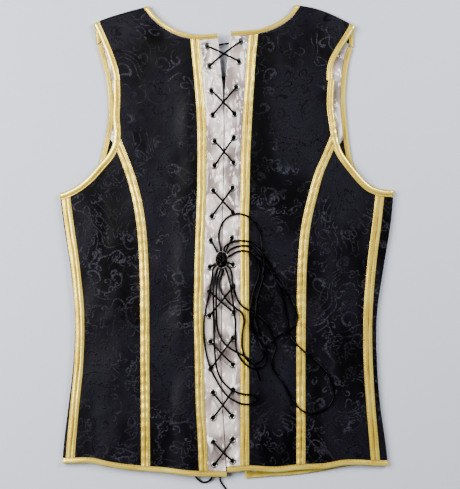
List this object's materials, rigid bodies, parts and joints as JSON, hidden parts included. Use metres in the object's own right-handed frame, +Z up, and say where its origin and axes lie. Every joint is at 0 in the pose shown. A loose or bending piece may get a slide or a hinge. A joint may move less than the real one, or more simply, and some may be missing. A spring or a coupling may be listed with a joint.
{
  "type": "corset vest",
  "caption": "Sleeveless corset vest in dark brocade with gold tape edges and a laced satin-panelled back, laid flat front down.",
  "frame": {"origin": "bottom centre of the vest's box, measured without the loose cord; the surface it lies on is Z = 0", "axes": "+Y from the hem to the shoulders, +X to the right as seen from above with the back up, +Z up out of the surface"},
  "size_m": [0.4355, 0.6366, 0.0207],
  "materials": {
    "brocade": "black jacquard brocade with a soft sheen",
    "satin": "silver-cream satin",
    "tape": "pale gold satin bias tape",
    "lace": "black braided round cord"
  },
  "bodies": {
    "root": {"back_center_l": "brocade", "back_center_r": "brocade", "back_side_l": "brocade", "back_side_r": "brocade", "yoke_l": "brocade", "yoke_r": "brocade", "side_front_l": "brocade", "side_front_r": "brocade", "front_center_l": "brocade", "front_center_r": "brocade", "front_lining_l": "satin", "front_lining_r": "satin", "lacing_panel_l": "satin", "lacing_panel_r": "satin", "armhole_binding_l": "tape", "armhole_binding_r": "tape", "yoke_binding_l": "tape", "yoke_binding_r": "tape", "neck_binding_l": "tape", "neck_binding_r": "tape", "hem_binding_l": "tape", "hem_binding_r": "tape", "front_edge_binding_l": "tape", "front_edge_binding_r": "tape", "center_tape_l": "tape", "center_tape_r": "tape", "princess_tape_l": "tape", "princess_tape_r": "tape", "side_tape_l": "tape", "side_tape_r": "tape", "lace_upper_a": "lace", "lace_upper_b": "lace", "lace_lower_a": "lace", "lace_lower_b": "lace", "lace_knot": "lace", "lace_loop_left": "lace", "lace_loop_right": "lace", "lace_loop_outer": "lace", "lace_loop_top": "lace", "lace_tail_a": "lace", "lace_tail_b": "lace", "lace_hem_loop": "lace", "lace_hem_tail": "lace"}
  },
  "joints": []
}
